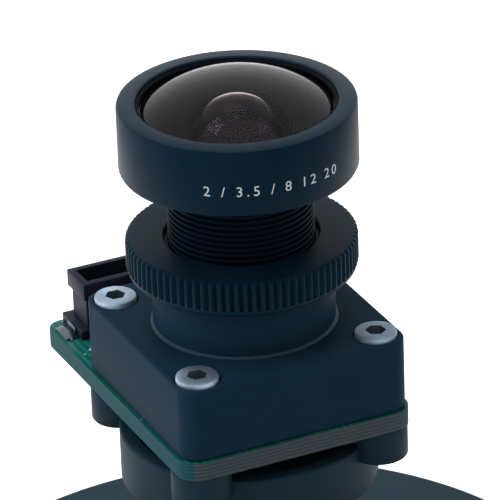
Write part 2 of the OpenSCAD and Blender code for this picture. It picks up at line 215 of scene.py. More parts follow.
def build_grain_group() -> NodeTree:
    """Fine surface grain with slow patches of tone, for moulded and blasted finishes."""
    group = Group("fine_grain",
                  {"Vector": "Vector", "Colour": "Color", "Second Colour": "Color",
                   "Roughness": "Float", "Spread": "Float"},
                  {"Colour": "Color", "Roughness": "Float", "Height": "Float"})
    source = group.source
    patches = group.noise(source["Vector"], 260.0, 2.0)
    grain = group.noise(source["Vector"], 9000.0, 4.0)
    share = group.band(patches, 0.35, 0.65)
    group.feed(group.sink["Colour"], group.mix(share, source["Colour"], source["Second Colour"]))
    rough = source["Roughness"]
    for texture in (grain, patches):
        swing = group.maths("SUBTRACT", texture, 0.5)
        swing = group.maths("MULTIPLY", swing, source["Spread"])
        rough = group.maths("ADD", rough, swing, clamp=True)
    group.feed(group.sink["Roughness"], rough)
    group.feed(group.sink["Height"], grain)
    return group.tree


def build_turned_group() -> NodeTree:
    """Faint turning marks: rings about the lens axis on flats, and bands along it on sides."""
    group = Group("turning_marks", {"Vector": "Vector", "Lines Per Metre": "Float"},
                  {"Height": "Float"})
    x, y, z = group.split(group.source["Vector"])
    squares = group.maths("ADD", group.maths("MULTIPLY", x, x), group.maths("MULTIPLY", y, y))
    along = group.maths("ADD", group.maths("SQRT", squares), z)
    lines = group.maths("MULTIPLY", along, group.source["Lines Per Metre"])
    marks = group.add("TexNoise", {"W": lines, "Scale": 1.0, "Detail": 2.0},
                      noise_dimensions="1D")
    group.feed(group.sink["Height"], marks[0])
    return group.tree


def build_wear_group() -> NodeTree:
    """Sparse specks of dust and fine rubs, as a mask from 0 to 1."""
    group = Group("dust_and_rubs", {"Vector": "Vector", "Amount": "Float"}, {"Mask": "Float"})
    vector = group.source["Vector"]
    specks = group.band(group.noise(vector, 5200.0, 1.0), 0.70, 0.76)
    clouds = group.band(group.noise(vector, 420.0, 5.0), 0.50, 0.75)
    both = group.maths("MULTIPLY", specks, clouds)
    group.feed(group.sink["Mask"],
               group.maths("MULTIPLY", both, group.source["Amount"], clamp=True))
    return group.tree


GRAIN = build_grain_group()
TURNED = build_turned_group()
WEAR = build_wear_group()


# ---------------------------------------------------------------- finishes


@dataclass(frozen=True)
class Grained:
    """An opaque finish with fine grain, slow tone patches and a little dust."""

    name: str
    colour: Colour
    second: Colour
    roughness: float = 0.5
    specular: float = 0.5
    sheen: Colour = WHITE
    metallic: float = 0.0
    spread: float = 0.08
    bump: float = 0.12
    depth: float = 0.00001
    dust: float = 0.25
    dust_colour: Colour = DUST

    def height(self, surface: Surface, grain: Socket) -> Socket:
        """The height that the finish's bump follows."""
        return grain

    def build(self) -> Material:
        """Makes the material."""
        surface = Surface(self.name)
        grain = surface.place(GRAIN, Colour=self.colour, Second_Colour=self.second,
                              Roughness=self.roughness, Spread=self.spread)
        wear = surface.place(WEAR, Amount=self.dust)
        surface.dress(Base_Color=surface.mix(wear["Mask"], grain["Colour"], self.dust_colour),
                      Roughness=grain["Roughness"], Metallic=self.metallic,
                      Specular_IOR_Level=self.specular, Specular_Tint=self.sheen)
        surface.relief(self.height(surface, grain["Height"]), self.bump, self.depth)
        return surface.material


@dataclass(frozen=True)
class Turned(Grained):
    """A turned and anodised or bare metal finish with faint turning marks."""

    roughness: float = 0.4
    spread: float = 0.06
    bump: float = 0.15
    depth: float = 0.000006
    dust: float = 0.2
    lines: float = 9000.0

    def height(self, surface: Surface, grain: Socket) -> Socket:
        """The height that the finish's bump follows: marks with some grain on them."""
        marks = surface.place(TURNED, Lines_Per_Metre=self.lines)["Height"]
        return surface.maths("ADD", marks, surface.maths("MULTIPLY", grain, 0.5))


@dataclass(frozen=True)
class OpticalGlass:
    """Clear or coated optical glass, with a faint smear."""

    name: str
    colour: Colour
    ior: float
    sheen: Colour = WHITE
    smeared: float = 0.94

    def build(self) -> Material:
        """Makes the material."""
        surface = Surface(self.name)
        smear = surface.band(surface.noise(surface.where, 700.0, 4.0), 0.35, 0.75)
        tint = surface.mix(smear, self.colour, tuple(c * self.smeared for c in self.colour))
        surface.dress(Base_Color=tint, Roughness=0.0, Transmission_Weight=1.0, IOR=self.ior,
                      Specular_Tint=self.sheen)
        return surface.material


@dataclass(frozen=True)
class SolderMask:
    """Green board lacquer over copper tracks and plated holes."""

    name: str
    mask: Colour
    track: Colour
    hole: Colour = (0.16, 0.24, 0.21)
    sheen: Colour = (0.5, 0.9, 1.0)
    tracks_per_metre: float = 1600.0
    shaded: float = 0.8

    def build(self) -> Material:
        """Makes the material."""
        surface = Surface(self.name)
        across = surface.maths("MULTIPLY", surface.split(surface.where)[0], self.tracks_per_metre)
        stripes = surface.maths("LESS_THAN", surface.maths("FRACT", across), 0.42)
        cells = surface.add("TexVoronoi", {"Vector": surface.where, "Scale": 420.0},
                            feature="F1", distance="CHEBYCHEV")["Distance"]
        tracks = surface.maths("MULTIPLY", stripes, surface.maths("GREATER_THAN", cells, 0.42))
        dots = surface.add("TexVoronoi", {"Vector": surface.where, "Scale": 560.0,
                                          "Randomness": 0.8})["Distance"]
        holes = surface.maths("LESS_THAN", dots, 0.07)
        grain = surface.place(GRAIN, Colour=self.mask,
                              Second_Colour=tuple(c * self.shaded for c in self.mask),
                              Roughness=0.32, Spread=0.1)
        colour = surface.mix(tracks, grain["Colour"], self.track)
        surface.dress(Base_Color=surface.mix(holes, colour, self.hole),
                      Roughness=grain["Roughness"], Specular_IOR_Level=0.13,
                      Specular_Tint=self.sheen)
        surface.relief(surface.maths("ADD", tracks, holes), 0.5, 0.00003)
        return surface.material


@dataclass(frozen=True)
class Laminate:
    """Cut edge of a board: resin with thin glass layers."""

    name: str
    resin: Colour
    glass: Colour
    layers_per_metre: float = 3100.0
    glass_share: float = 0.4

    def build(self) -> Material:
        """Makes the material."""
        surface = Surface(self.name)
        mottled = surface.noise(surface.where, 3000.0, 4.0)
        wander = surface.maths("MULTIPLY", surface.noise(surface.where, 900.0, 3.0), 0.6)
        up = surface.maths("MULTIPLY", surface.split(surface.where)[2], self.layers_per_metre)
        layer = surface.maths("FRACT", surface.maths("ADD", up, wander))
        glass = surface.maths("LESS_THAN", layer, self.glass_share)
        share = surface.maths("MULTIPLY", glass, mottled)
        surface.dress(Base_Color=surface.mix(share, self.resin, self.glass), Roughness=0.6,
                      Specular_IOR_Level=0.07)
        surface.relief(mottled, 0.4, 0.00002)
        return surface.material


class Finish(Enum):
    """Every finish. Its material is built once, when it is first used."""

    BARREL = Turned("black_anodised", (0.0022, 0.0078, 0.0160), (0.0026, 0.0086, 0.0176),
                    0.42, 0.05, (0.10, 0.65, 1.0))
    # painted shade: the barrel's anodising made darker on the thread and neck under the head
    THREAD_SHADE = Turned("black_anodised_thread_painted_shade", (0.0012, 0.0030, 0.0066),
                    (0.0016, 0.0038, 0.0078), 0.5, 0.07, (0.10, 0.65, 1.0), bump=0.05)
    INNER_BLACK = Grained("blackened_inside", (0.0012, 0.0016, 0.0024),
                          (0.0018, 0.0024, 0.0032), 0.6, 0.06, (0.7, 0.8, 1.0), dust=0.05)
    # painted highlight: the barrel's anodising made lighter and glossier on the head's top rim,
    # where it catches light
    RIM_HIGHLIGHT = Turned("black_anodised_rim_painted_highlight", (0.0040, 0.0105, 0.0190), (0.0050, 0.0125, 0.0215),
                 0.34, 0.11, (0.4, 0.75, 1.0))
    RING = Turned("black_anodised_ring", (0.0012, 0.0056, 0.0120), (0.0017, 0.0066, 0.0138),
                  0.45, 0.10, (0.05, 0.60, 1.0))
    HOLDER = Grained("black_moulding", (0.0046, 0.0150, 0.0274), (0.0052, 0.0163, 0.0296),
                     0.55, 0.030, (0.15, 0.72, 1.0), bump=0.2, depth=0.00002)
    # painted highlight: the moulding made lighter and glossier on the step ring at the boss's
    # foot
    HOLDER_STEP_HIGHLIGHT = Grained("black_moulding_step_painted_highlight", (0.0110, 0.0260, 0.0400),
                          (0.0130, 0.0290, 0.0440), 0.4, 0.2, (0.4, 0.8, 1.0), bump=0.1)
    SHELL = Grained("black_shell", (0.0045, 0.0120, 0.0190), (0.0055, 0.0140, 0.0215),
                    0.55, 0.11, (0.4, 0.8, 1.0), bump=0.25, depth=0.00002)
    STAND = Grained("black_stand", (0.0055, 0.0160, 0.0240), (0.0065, 0.0180, 0.0265),
                    0.55, 0.10, (0.3, 0.8, 1.0), bump=0.2, depth=0.00002)
    STEEL = Turned("bright_screw", (0.52, 0.66, 0.80), (0.22, 0.29, 0.36), 0.62, metallic=1.0,
                   bump=0.9, lines=16000.0, dust_colour=(0.2, 0.2, 0.2))
    # painted shade: the screw steel made darker inside the hex socket, where shade falls
    SOCKET_SHADE = Turned("screw_socket", (0.22, 0.27, 0.32), (0.14, 0.17, 0.20), 0.5, metallic=1.0,
                    lines=16000.0)
    MASK = SolderMask("green_lacquer", (0.004, 0.058, 0.050), (0.008, 0.092, 0.079))
    LAMINATE = Laminate("board_edge", (0.003, 0.032, 0.041), (0.014, 0.060, 0.080))
    SAWN_EDGE = Laminate("board_sawn_edge", (0.024, 0.032, 0.040), (0.056, 0.063, 0.070))
    GOLD = Turned("gold_plate", (0.72, 0.56, 0.28), (0.62, 0.47, 0.22), 0.3, metallic=1.0)
    SOLDER = Grained("solder", (0.17, 0.21, 0.25), (0.07, 0.09, 0.11), 0.34, metallic=1.0,
                     bump=0.4, depth=0.00003, dust=0.1)
    CONNECTOR = Grained("connector_black", (0.0060, 0.0085, 0.0150),
                        (0.0085, 0.0110, 0.0190), 0.5, 0.10, (0.7, 0.75, 1.0))
    CHIP = Grained("chip_black", (0.018, 0.018, 0.02), (0.024, 0.024, 0.026), 0.62,
                   bump=0.4, depth=0.00003)
    FERRITE = Grained("ferrite", (0.05, 0.05, 0.055), (0.07, 0.07, 0.075), 0.75,
                      bump=0.5, depth=0.00004)
    CAN = Turned("plated_can", (0.6, 0.62, 0.64), (0.5, 0.52, 0.55), 0.25, metallic=1.0)
    CERAMIC = Grained("brown_ceramic", (0.34, 0.22, 0.12), (0.26, 0.17, 0.09), 0.4, bump=0.3)
    PACKAGE = Grained("grey_ceramic", (0.05, 0.05, 0.055), (0.07, 0.07, 0.075), 0.6)
    DIE = Grained("silicon", (0.10, 0.07, 0.14), (0.05, 0.09, 0.12), 0.15, 0.8,
                  metallic=0.6, bump=0.05)
    FRONT_GLASS = OpticalGlass("front_glass", (0.66, 0.56, 0.58), 1.26, (1.0, 0.90, 0.92))
    UNDER_GLASS = OpticalGlass("front_glass_hollow", (0.66, 0.66, 0.74), 1.15,
                               (0.8, 0.80, 1.0))
    INNER_GLASS = OpticalGlass("inner_glass", (0.62, 0.62, 0.72), 1.24, (0.8, 0.75, 1.0))
    FILTER_GLASS = OpticalGlass("filter_glass", (0.62, 0.86, 0.88), 1.5)
    WHITE_PAINT = Grained("white_marks", (0.36, 0.42, 0.46), (0.28, 0.34, 0.38), 0.6,
                          dust=0.6, dust_colour=(0.12, 0.16, 0.19))

    @cached_property
    def material(self) -> Material:
        """The finish's material."""
        return self.value.build()


# ---------------------------------------------------------------- mesh tools


def spun(profile: Sequence[Point], steps: int = 144) -> BMesh:
    """Turns a closed profile once round the lens axis.

    Args:
        profile: radius and height of each corner.
        steps: segments round the axis.

    Returns:
        The mesh.
    """
    bm = bmesh.new()
    verts = [bm.verts.new((r, 0.0, z)) for r, z in profile]
    edges = [bm.edges.new(pair) for pair in zip(verts, verts[1:] + verts[:1])
             if not (pair[0].co.x == 0.0 and pair[1].co.x == 0.0)]
    bmesh.ops.spin(bm, geom=verts + edges, cent=(0, 0, 0), axis=(0, 0, 1), dvec=(0, 0, 0),
                   angle=math.tau, steps=steps, use_merge=True, use_duplicate=False)
    bmesh.ops.remove_doubles(bm, verts=bm.verts, dist=MERGE)
    bmesh.ops.recalc_face_normals(bm, faces=bm.faces)
    return bm


def soften(bm: BMesh, width: float, segments: int = 2, angle: float = 25.0,
           keep: Callable[[BMEdge], bool] = lambda edge: True) -> BMesh:
    """Rounds the sharp edges of a mesh.

    Args:
        bm: the mesh.
        width: the rounding's width.
        segments: faces across the rounding.
        angle: the least angle that counts as sharp, in degrees.
        keep: says which sharp edges are rounded.

    Returns:
        The same mesh.
    """
    edges = [e for e in bm.edges
             if len(e.link_faces) == 2 and e.calc_face_angle(0.0) > math.radians(angle)
             and keep(e)]
    bmesh.ops.bevel(bm, geom=edges, offset=width, offset_type="OFFSET", segments=segments,
                    profile=0.5, affect="EDGES", clamp_overlap=True, material=-1)
    return bm


def block(corner: Sequence[float], opposite: Sequence[float]) -> BMesh:
    """A box between its lowest and its highest corner."""
    a, b = Vector(corner), Vector(opposite)
    bm = bmesh.new()
    bmesh.ops.create_cube(bm, size=1.0)
    bmesh.ops.scale(bm, vec=b - a, verts=bm.verts)
    return moved(bm, *((a + b) / 2))


def rounded_block(corner: Sequence[float], opposite: Sequence[float],
                  upright: Callable[[Vector], float], segments: int = 8) -> BMesh:
    """A box whose upright edges are rounded.

    Args:
        corner: lowest corner.
        opposite: highest corner.
        upright: gives the radius for the upright edge at a place.
        segments: faces across each rounding.

    Returns:
        The mesh.
    """
    bm = block(corner, opposite)
    for radius in sorted({upright(v.co) for v in bm.verts}):
        soften(bm, radius, segments, 80.0,
               lambda e: (e.verts[0].co - e.verts[1].co).xy.length < 1e-6
               and abs(upright(e.verts[0].co) - radius) < 1e-9)
    return bm


def rod(radius: float, bottom: float, top: float, at: Point = (0.0, 0.0),
        segments: int = 64) -> BMesh:
    """An upright cylinder.

    Args:
        radius: its radius.
        bottom: its lower end.
        top: its upper end.
        at: where its axis stands.
        segments: sides.

    Returns:
        The mesh.
    """
    bm = bmesh.new()
    bmesh.ops.create_cone(bm, cap_ends=True, cap_tris=False, segments=segments,
                          radius1=radius, radius2=radius, depth=top - bottom)
    return moved(bm, *at, (top + bottom) / 2)


def drop(reach: Sequence[float], place: Sequence[float], bottom: float, sides: int,
         rings: int) -> BMesh:
    """A drop of solder that is flat underneath.

    Args:
        reach: its half sizes.
        place: its middle.
        bottom: the height where it is cut flat.
        sides: segments round it.
        rings: segments from its top to its bottom.

    Returns:
        The mesh.
    """
    bm = bmesh.new()
    bmesh.ops.create_uvsphere(bm, u_segments=sides, v_segments=rings, radius=1.0)
    bmesh.ops.scale(bm, vec=reach, verts=bm.verts)
    moved(bm, *place)
    bmesh.ops.bisect_plane(bm, geom=bm.verts[:] + bm.edges[:] + bm.faces[:],
                           plane_co=(0, 0, bottom), plane_no=(0, 0, 1), clear_inner=True)
    bmesh.ops.holes_fill(bm, edges=bm.edges, sides=60)
    return bm


def moved(bm: BMesh, x: float = 0.0, y: float = 0.0, z: float = 0.0) -> BMesh:
    """Moves a mesh and returns it."""
    bmesh.ops.translate(bm, vec=(x, y, z), verts=bm.verts)
    return bm


def linked(name: str, data: bpy.types.ID) -> Object:
    """Puts a mesh, curve, light or camera into a new object of the scene."""
    made = bpy.data.objects.new(name, data)
    bpy.context.scene.collection.objects.link(made)
    return made


def as_object(bm: BMesh, name: str) -> Object:
    """Puts a mesh into a new object of the scene, and frees the mesh."""
    mesh = bpy.data.meshes.new(name)
    bm.to_mesh(mesh)
    bm.free()
    return linked(name, mesh)


def combined(base: BMesh, others: Iterable[BMesh], join: Join) -> BMesh:
    """Adds other closed meshes to a mesh, or cuts them out of it.

    Args:
        base: the mesh that is changed.
        others: the meshes that are added or cut out. They are used up.
        join: whether they are added or cut.

    Returns:
        The new mesh.
    """
    target = as_object(base, "working_piece")
    tools = []
    for index, other in enumerate(others):
        tools.append(as_object(other, f"working_tool_{index}"))
        modifier = target.modifiers.new(f"join_{index}", "BOOLEAN")
        modifier.operation = join.value
        modifier.solver = "EXACT"
        modifier.object = tools[-1]
    graph = bpy.context.evaluated_depsgraph_get()
    result = bmesh.new()
    result.from_mesh(target.evaluated_get(graph).to_mesh())
    for used in [target, *tools]:
        mesh = used.data
        bpy.data.objects.remove(used)
        bpy.data.meshes.remove(mesh)
    bmesh.ops.remove_doubles(result, verts=result.verts, dist=MERGE)
    bmesh.ops.dissolve_degenerate(result, edges=result.edges, dist=MERGE)
    return result


def merged(parts: Iterable[BMesh]) -> BMesh:
    """Puts separate solids into one mesh.

    Args:
        parts: the meshes, which are used up.

    Returns:
        One mesh with all of them.
    """
    whole = bmesh.new()
    for part in parts:
        mesh = bpy.data.meshes.new("working_part")
        part.to_mesh(mesh)
        part.free()
        whole.from_mesh(mesh)
        bpy.data.meshes.remove(mesh)
    return whole


def paint_faces(bm: BMesh, index: int, test: Callable[[float, float, Vector], bool]) -> None:
    """Gives a material index to the faces that pass a test.

    Args:
        bm: the mesh.
        index: the material's index.
        test: takes the radius and height of a face's middle, and its normal.
    """
    for face in bm.faces:
        middle = face.calc_center_median()
        if test(middle.xy.length, middle.z, face.normal):
            face.material_index = index


def finish_piece(bm: BMesh, name: str, finishes: Sequence[Finish],
                 nodes: Sequence[str] = (), body: Body = Body.HOUSING,
                 crease: float = 32.0) -> None:
    """Makes a piece of the visual model from a mesh in millimetres.

    Args:
        bm: the mesh, which is used up.
        name: the piece's name.
        finishes: its finishes, by face index.
        nodes: the CAD nodes that it stands for.
        body: the body that it rides on.
        crease: the angle past which an edge looks sharp, in degrees.
    """
    bmesh.ops.scale(bm, vec=(MM, MM, MM), verts=bm.verts)
    for face in bm.faces:
        face.smooth = True
    piece = as_object(bm, name)
    piece.data.set_sharp_from_angle(angle=math.radians(crease))
    for finish in finishes:
        piece.data.materials.append(finish.material)
    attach(piece, body.value)
    if nodes:
        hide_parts(*nodes)
    LOG.info("made %s with %d faces", name, len(piece.data.polygons))


def dress_nodes(finish: Finish, *nodes: str) -> None:
    """Gives carried-over CAD nodes their finish."""
    for node in nodes:
        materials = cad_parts[node].data.materials
        materials.clear()
        materials.append(finish.material)
        LOG.info("dressed %s", node)


# ---------------------------------------------------------------- sub-assemblies


@dataclass
class Stand:
    """Round foot and stem, turned as one piece, and the screw that holds the shell."""

    edge_round: float = 0.6
    stem_radius: float = 8.0
    foot_thickness: float = 3.0
    fillet: float = 2.0
    fillet_faces: int = 6
    screw_radius: float = 2.0
    screw_depth: float = 6.4

    def build(self) -> None:
        """Builds the stand and dresses its screw."""
        _, corner = box("stand")
        radius, top = corner.x, corner.z
        turns = [math.pi / 2 * (1 - k / self.fillet_faces) for k in range(self.fillet_faces + 1)]
        curve = [(self.stem_radius + self.fillet * (1 - math.cos(a)),
                  self.foot_thickness + self.fillet * (1 - math.sin(a))) for a in turns]
        profile = [(0, 0), (radius, 0), (radius, self.foot_thickness), *curve,
                   (self.stem_radius, top), (self.screw_radius, top),
                   (self.screw_radius, top - self.screw_depth), (0, top - self.screw_depth)]
        bm = soften(spun(profile, 192), self.edge_round, 4, 60.0,
                    lambda e: e.verts[0].co.xy.length > 12 or e.verts[0].co.z < 0.01)
        finish_piece(bm, "round_stand", [Finish.STAND], ["stand"])
        dress_nodes(Finish.STEEL, "stand_screw")


@dataclass
class RearShell:
    """Round shell under the board, with four ears for the corner screws."""

    wall: float = 1.2
    floor: float = 1.4
    edge_round: float = 0.25
    rim_gap: float = 1.5
    ear_radius: float = 2.45
    ear_height: float = 2.9
    ear_round: float = 0.15
    ear_hole: float = 1.04
    stand_hole: float = 1.6

    def build(self) -> None:
        """Builds the shell."""
        a, b = box("rear_shell")
        bottom, top, radius = a.z, b.z, b.x
        rim = top - self.rim_gap
        outer = soften(spun([(0, bottom), (radius, bottom), (radius, rim), (0, rim)]),
                       self.edge_round, 3, 50.0, lambda e: e.verts[0].co.xy.length > 1.0)
        under = top - self.ear_height
        ears = [soften(rod(self.ear_radius, under, top, at), self.ear_round, 2, 50.0)
                for at in SCREW_PLACES]
        cuts = [rod(radius - self.wall, bottom + self.floor, top + 1, segments=144),
                rod(self.stand_hole, bottom - 1, bottom + self.floor + 1)]
        cuts += [rod(self.ear_hole, under - 1, top + 1, at, 32) for at in SCREW_PLACES]
        bm = combined(combined(outer, ears, Join.ADD), cuts, Join.CUT)
        finish_piece(bm, "round_rear_shell", [Finish.SHELL], ["rear_shell"])


@dataclass
class Board:
    """The circuit board, its plated pads, its printed lines and the parts on it."""

    front_corner: float = 1.85
    back_corner: float = 1.4
    hole: float = 1.1
    pad_half: float = 0.3
    pad_front: float = 12.0
    pad_back: float = 13.6
    pad_height: float = 0.02
    line: float = 0.12
    ink: float = 0.015

    def build(self) -> None:
        """Builds the board and everything on it."""
        a, b = box("circuit_board")
        middle = (a.y + b.y) / 2
        bm = rounded_block(a, b, lambda p: self.front_corner if p.y < middle
                           else self.back_corner)
        holes = [rod(self.hole, a.z - 1, b.z + 1, at, 32) for at in SCREW_PLACES]
        bm = combined(bm, holes, Join.CUT)
        paint_faces(bm, 1, lambda r, z, normal: abs(normal.z) < 0.5)
        paint_faces(bm, 2, lambda r, z, normal: abs(normal.y) > 0.8)
        finish_piece(bm, "green_board", [Finish.MASK, Finish.LAMINATE, Finish.SAWN_EDGE],
                     ["circuit_board"])
        self.build_plating()
        self.build_printing()
        self.build_parts()

    def build_plating(self) -> None:
        """Builds the pads of the connector."""
        face, pads = box("circuit_board")[1].z, []
        for x in PIN_PLACES:
            pad = block((x - self.pad_half, self.pad_front, face),
                        (x + self.pad_half, self.pad_back, face + self.pad_height))
            pads.append(soften(pad, 0.008, 1))
        finish_piece(merged(pads), "connector_pads", [Finish.GOLD])

    def build_printing(self) -> None:
        """Builds the printed outline round the connector and its dot."""
        face = box("circuit_board")[1].z
        x, y, top = -8.2, 12.2, face + self.ink
        strips = [block((x, y, face), (x + 0.5, y + self.line, top)),
                  block((x, y, face), (x + self.line, y + 1.0, top)),
                  rod(0.16, face, top, (x - 0.6, y - 0.2), 24)]
        finish_piece(merged(strips), "board_printing", [Finish.WHITE_PAINT])

    def build_parts(self) -> None:
        """Builds the small resistors with their metal ends, and dresses the other parts."""
        a, b = box("signal_resistors")
        bodies, ends = [], []
        for x in (s * (b.x + 0.5 - k) for s in (-1, 1) for k in (1, 3, 5)):
            bodies.append(soften(block((x - 0.3, a.y, a.z + 0.03), (x + 0.3, b.y, b.z)),
                                 0.03, 1))
            for middle in (x - 0.4, x + 0.4):
                end = block((middle - 0.11, a.y - 0.01, a.z),
                            (middle + 0.11, b.y + 0.01, b.z + 0.01))
                ends.append(soften(end, 0.05))
        finish_piece(merged(bodies), "resistor_bodies", [Finish.CHIP],
                     ["signal_resistors"])
        finish_piece(merged(ends), "resistor_ends", [Finish.SOLDER])
        dress_nodes(Finish.CHIP, "processor_chip", "memory_chip", "regulator_chip")
        dress_nodes(Finish.FERRITE, "power_inductor")
        dress_nodes(Finish.CAN, "crystal")
        dress_nodes(Finish.CERAMIC, "capacitors")
        dress_nodes(Finish.PACKAGE, "sensor_package")
        dress_nodes(Finish.DIE, "sensor_die")
        dress_nodes(Finish.INNER_GLASS, "sensor_cover")
        dress_nodes(Finish.FILTER_GLASS, "infrared_filter")


@dataclass
class LensHolder:
    """Square moulding with a round boss and four sunk screw seats."""

    corner: float = 1.6
    edge_round: float = 0.22
    boss_radius: float = 7.5
    boss_height: float = 4.75
    step_radius: float = 7.7
    step_height: float = 0.15
    step_bevel: float = 0.06
    bore: float = 6.05
    bore_depth: float = 3.4
    bore_bevel: float = 0.3
    window_radius: float = 4.4
    filter_half: float = 4.9
    filter_height: float = 4.2
    cavity_half: float = 6.2
    cavity_height: float = 4.6
    screw_hole: float = 1.1
    seat_radius: float = 1.85
    seat_depth: float = 0.9
    seat_bevel: float = 0.08

    def build(self) -> None:
        """Builds the holder."""
        a, b = box("lens_holder")
        top = b.z - self.boss_height
        step, cut = top + self.step_height, self.step_bevel
        bm = rounded_block(a, (b.x, b.y, top), lambda p: self.corner, 10)
        bm = soften(bm, self.edge_round, 3, 60.0)
        outer, inner = self.step_radius, self.boss_radius
        boss = spun([(0, top - 1), (outer, top - 1), (outer, step - cut), (outer - cut, step),
                     (inner + cut, step), (inner, step + cut), (inner, b.z - 0.3),
                     (inner - 0.1, b.z - 0.1), (inner - 0.3, b.z), (0, b.z)])
        bm = combined(bm, [boss], Join.ADD)
        floor, wide = top - self.bore_depth, self.bore + self.bore_bevel
        window, pocket, cavity = self.window_radius, self.filter_half, self.cavity_half
        cuts = [spun([(0, floor), (self.bore, floor), (self.bore, b.z - 0.25),
                      (wide, b.z + 0.05), (wide, b.z + 1), (0, b.z + 1)]),
                rod(window, top - 5, top - 3),
                block((-pocket, -pocket, top - 5), (pocket, pocket, top - self.filter_height)),
                block((-cavity, -cavity, a.z - 1), (cavity, cavity, top - self.cavity_height))]
        seat, lip = top - self.seat_depth, self.seat_radius + self.seat_bevel
        for at in SCREW_PLACES:
            hole = spun([(0, a.z - 1), (self.screw_hole, a.z - 1), (self.screw_hole, seat),
                         (self.seat_radius, seat), (self.seat_radius, top - 0.06),
                         (lip, top + 0.02), (lip, top + 1), (0, top + 1)], 64)
            cuts.append(moved(hole, *at))
        bm = combined(bm, cuts, Join.CUT)
        # the step ring at the boss's foot gets the lighter moulding, a painted highlight
        paint_faces(bm, 1, lambda r, z, normal: inner - 0.02 < r < outer + 0.02
                    and top < z < step + 0.1)
        finish_piece(bm, "square_lens_holder", [Finish.HOLDER, Finish.HOLDER_STEP_HIGHLIGHT],
                     ["lens_holder"])


@dataclass
class CornerScrews:
    """Four small socket-head screws."""

    head_radius: float = 1.75
    head_height: float = 1.3
    shank_radius: float = 1.0
    thread_depth: float = 0.16
    thread_length: float = 4.4
    pitch: float = 0.4
    socket: float = 1.5
    socket_depth: float = 0.8

    def one(self, bottom: float, top: float) -> BMesh:
        """Builds one screw on the axis.

        Args:
            bottom: the height of its end.
            top: the height of its head's top.

        Returns:
            The mesh.
        """
        seat = top - self.head_height
        shank, head = self.shank_radius, self.head_radius
        root = shank - self.thread_depth
        ridges = []
        z = bottom + 0.5
        while z < bottom + self.thread_length:
            ridges += [(root, z), (shank, z + self.pitch / 2), (root, z + self.pitch)]
            z += self.pitch
        bm = spun([(0, bottom), (root - 0.1, bottom), *ridges, (shank, z + 0.1), (shank, seat),
                   (head, seat), (head, top - 0.22), (head - 0.06, top - 0.08),
                   (head - 0.22, top), (0, top)], 48)
        reach = self.socket / math.sqrt(3)
        hexagon = rod(reach, top - self.socket_depth, top + 1, segments=6)
        bm = combined(bm, [hexagon], Join.CUT)
        # the socket's walls and floor get the darker steel, a painted shade
        paint_faces(bm, 1, lambda r, z, normal: r < reach + 0.01
                    and top - self.socket_depth - 0.1 < z < top - 0.01)
        return bm

    def build(self) -> None:
        """Builds the screws, each turned its own way."""
        a, b = box("corner_screws")
        screws = []
        for at, turn in zip(SCREW_PLACES, (0.4, 2.5, 1.1, 1.8)):
            screw = self.one(a.z, b.z)
            bmesh.ops.rotate(screw, verts=screw.verts, cent=(0, 0, 0),
                             matrix=Matrix.Rotation(turn, 3, "Z"))
            screws.append(moved(screw, *at))
        finish_piece(merged(screws), "socket_head_screws", [Finish.STEEL, Finish.SOCKET_SHADE],
                     ["corner_screws"])


